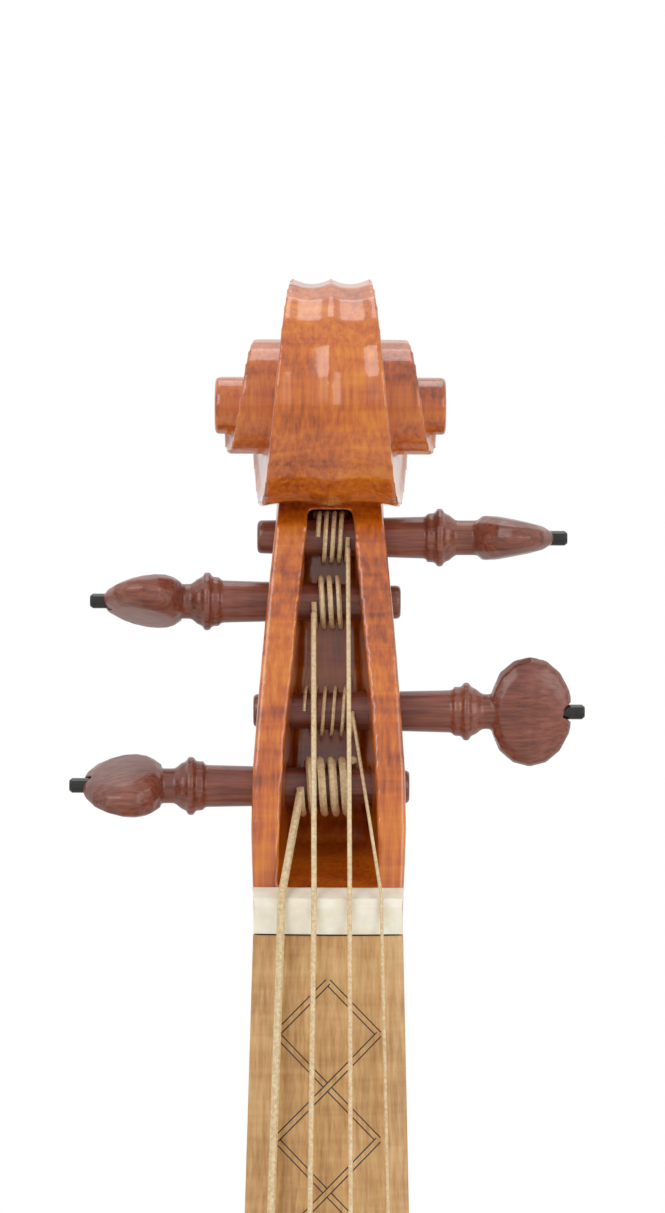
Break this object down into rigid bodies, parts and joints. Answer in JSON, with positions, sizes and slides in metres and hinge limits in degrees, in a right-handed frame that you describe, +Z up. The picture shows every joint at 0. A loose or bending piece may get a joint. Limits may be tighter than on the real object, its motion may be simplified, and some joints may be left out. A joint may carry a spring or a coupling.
{
  "type": "baroque violin",
  "caption": "Baroque violin with carved scroll, fruitwood tuning pegs, gut strings, wedge fingerboard with lattice inlay and arched sound box.",
  "frame": {"origin": "middle of the pegbox throat under the scroll, where a hanger holds the violin upright", "axes": "+Z up towards the scroll, +Y towards the back plate, +X towards the treble side; the belly faces -Y"},
  "size_m": [0.206, 0.0991, 0.6082],
  "materials": {
    "varnished_maple": "gloss",
    "varnished_spruce": "gloss",
    "board_maple": "satin",
    "bare_spruce": "matte",
    "bridge_maple": "satin",
    "fruitwood": "satin",
    "ebony": "satin",
    "bone": "satin",
    "gut": "satin",
    "iron": "matte"
  },
  "bodies": {
    "violin": {"belly": "varnished_spruce", "back": "varnished_maple", "rib_upper_treble": "varnished_maple", "rib_centre_treble": "varnished_maple", "rib_lower_treble": "varnished_maple", "rib_upper_bass": "varnished_maple", "rib_centre_bass": "varnished_maple", "rib_lower_bass": "varnished_maple", "top_block": "bare_spruce", "bottom_block": "bare_spruce", "corner_block_upper_treble": "bare_spruce", "corner_block_lower_treble": "bare_spruce", "corner_block_upper_bass": "bare_spruce", "corner_block_lower_bass": "bare_spruce", "lining_front_upper_treble": "bare_spruce", "lining_back_upper_treble": "bare_spruce", "lining_front_centre_treble": "bare_spruce", "lining_back_centre_treble": "bare_spruce", "lining_front_lower_treble": "bare_spruce", "lining_back_lower_treble": "bare_spruce", "lining_front_upper_bass": "bare_spruce", "lining_back_upper_bass": "bare_spruce", "lining_front_centre_bass": "bare_spruce", "lining_back_centre_bass": "bare_spruce", "lining_front_lower_bass": "bare_spruce", "lining_back_lower_bass": "bare_spruce", "bass_bar": "bare_spruce", "sound_post": "bare_spruce", "neck_and_head": "varnished_maple", "neck_nail_1": "iron", "neck_nail_2": "iron", "neck_nail_3": "iron", "fingerboard_core": "varnished_maple", "fingerboard": "board_maple", "nut": "bone", "string_g": "gut", "string_d": "gut", "string_a": "gut", "string_e": "gut", "bridge": "bridge_maple", "tailpiece": "fruitwood", "tailgut": "gut", "saddle": "ebony", "end_button": "fruitwood"},
    "tuning_peg_g": {"peg_g": "fruitwood", "peg_pip_g": "ebony", "winding_g": "gut"},
    "tuning_peg_d": {"peg_d": "fruitwood", "peg_pip_d": "ebony", "winding_d": "gut"},
    "tuning_peg_a": {"peg_a": "fruitwood", "peg_pip_a": "ebony", "winding_a": "gut"},
    "tuning_peg_e": {"peg_e": "fruitwood", "peg_pip_e": "ebony", "winding_e": "gut"}
  },
  "joints": [
    {"name": "peg_g_turn", "type": "hinge", "parent": "violin", "child": "tuning_peg_g", "pos_m": [0, -0.0085, -0.0469], "axis": [-1, 0, 0], "continuous": true},
    {"name": "peg_d_turn", "type": "hinge", "parent": "violin", "child": "tuning_peg_d", "pos_m": [0, -0.0035, -0.0146], "axis": [-1, 0, 0], "continuous": true},
    {"name": "peg_a_turn", "type": "hinge", "parent": "violin", "child": "tuning_peg_a", "pos_m": [0, -0.0016, -0.0032], "axis": [1, 0, 0], "continuous": true},
    {"name": "peg_e_turn", "type": "hinge", "parent": "violin", "child": "tuning_peg_e", "pos_m": [0, -0.0065, -0.0337], "axis": [1, 0, 0], "continuous": true}
  ]
}
